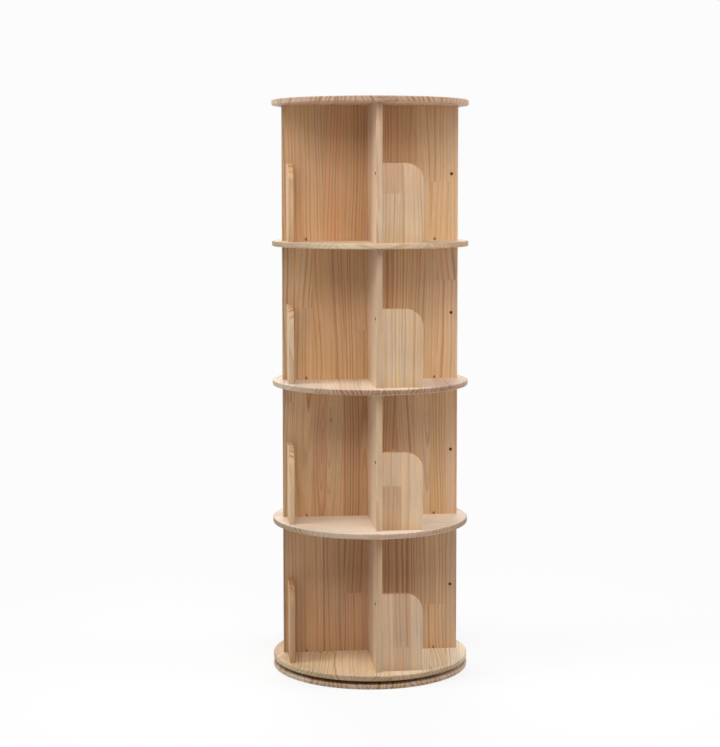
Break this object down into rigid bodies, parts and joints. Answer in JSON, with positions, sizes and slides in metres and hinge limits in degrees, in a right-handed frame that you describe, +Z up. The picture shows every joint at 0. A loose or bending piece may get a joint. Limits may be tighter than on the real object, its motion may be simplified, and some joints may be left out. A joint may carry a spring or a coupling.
{
  "type": "revolving bookcase",
  "caption": "Round floor-standing bookcase in jointed pine whose tiers of quarter compartments with book stops turn together on a ball-bearing ring above a round base.",
  "frame": {"origin": "centre of the base's underside, on the turning axis", "axes": "+Z up along the turning axis, -Y to the front, where the viewer stands, +X to the viewer's right"},
  "size_m": [0.44, 0.44, 1.278],
  "materials": {
    "pine_disc": "clear satin lacquer",
    "pine_board": "clear satin lacquer",
    "pine_stop": "clear satin lacquer",
    "dowel_beech": "bare",
    "dark_screw": "black oxide",
    "zinc_screw": "zinc plated",
    "turntable_aluminium": "satin",
    "ball_steel": "polished",
    "cage_nylon": "matte"
  },
  "bodies": {
    "base": {"base_disc": "pine_disc", "turntable_outer_ring": "turntable_aluminium", "outer_ring_screws": "zinc_screw"},
    "ball_race": {"ball_cage": "cage_nylon", "bearing_balls": "ball_steel"},
    "carousel": {"turntable_inner_ring": "turntable_aluminium", "inner_ring_screws": "zinc_screw", "bottom_disc": "pine_disc", "lower_shelf": "pine_disc", "middle_shelf": "pine_disc", "upper_shelf": "pine_disc", "top_disc": "pine_disc", "cross_panel_1": "pine_board", "cross_panel_2": "pine_board", "cross_panel_3": "pine_board", "cross_panel_4": "pine_board", "front_divider_1": "pine_board", "front_divider_2": "pine_board", "front_divider_3": "pine_board", "front_divider_4": "pine_board", "back_divider_1": "pine_board", "back_divider_2": "pine_board", "back_divider_3": "pine_board", "back_divider_4": "pine_board", "front_book_stop_1": "pine_stop", "right_book_stop_1": "pine_stop", "back_book_stop_1": "pine_stop", "left_book_stop_1": "pine_stop", "front_book_stop_2": "pine_stop", "right_book_stop_2": "pine_stop", "back_book_stop_2": "pine_stop", "left_book_stop_2": "pine_stop", "front_book_stop_3": "pine_stop", "right_book_stop_3": "pine_stop", "back_book_stop_3": "pine_stop", "left_book_stop_3": "pine_stop", "front_book_stop_4": "pine_stop", "right_book_stop_4": "pine_stop", "back_book_stop_4": "pine_stop", "left_book_stop_4": "pine_stop", "disc_dowels": "dowel_beech", "divider_dowels": "dowel_beech", "book_stop_dowels": "dowel_beech", "book_stop_screws": "dark_screw", "panel_foot_screws": "dark_screw"}
  },
  "joints": [
    {"name": "carousel_spin", "type": "hinge", "parent": "base", "child": "carousel", "pos_m": [0, 0, 0.01375], "axis": [0, 0, 1], "continuous": true},
    {"name": "ball_race_spin", "type": "hinge", "parent": "base", "child": "ball_race", "pos_m": [0, 0, 0.01375], "axis": [0, 0, 1], "continuous": true}
  ],
  "couplings": [
    {"joint": "ball_race_spin", "follows": "carousel_spin", "ratio": 0.4882}
  ]
}
